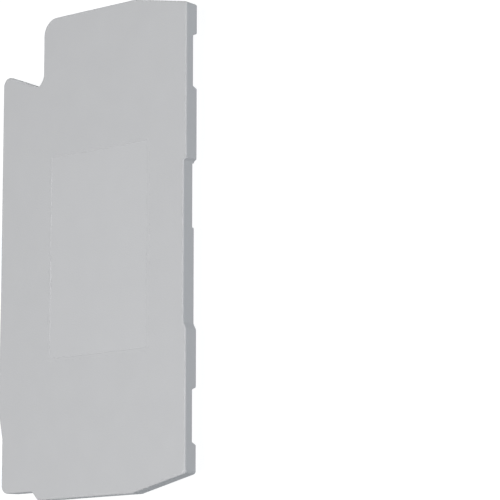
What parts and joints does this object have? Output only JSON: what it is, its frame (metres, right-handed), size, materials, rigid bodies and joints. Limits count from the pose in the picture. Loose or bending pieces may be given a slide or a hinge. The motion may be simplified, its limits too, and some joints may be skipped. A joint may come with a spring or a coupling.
{
  "type": "terminal block end cover",
  "caption": "Flat moulded end cover that closes the open side of a rail-mounted terminal block, with a low back rim and locating pegs.",
  "frame": {"origin": "under the middle of the plate, level with the tips of the locating pegs that it lies on", "axes": "+X along the length from the notched head end to the tail end, +Y across it from the rail edge to the top edge, +Z out of the outer face"},
  "size_m": [0.06, 0.0312, 0.0044],
  "materials": {
    "polyamide": "moulded grey polyamide with a fine spark-eroded texture"
  },
  "bodies": {
    "root": {"end_cover": "polyamide"}
  },
  "joints": []
}
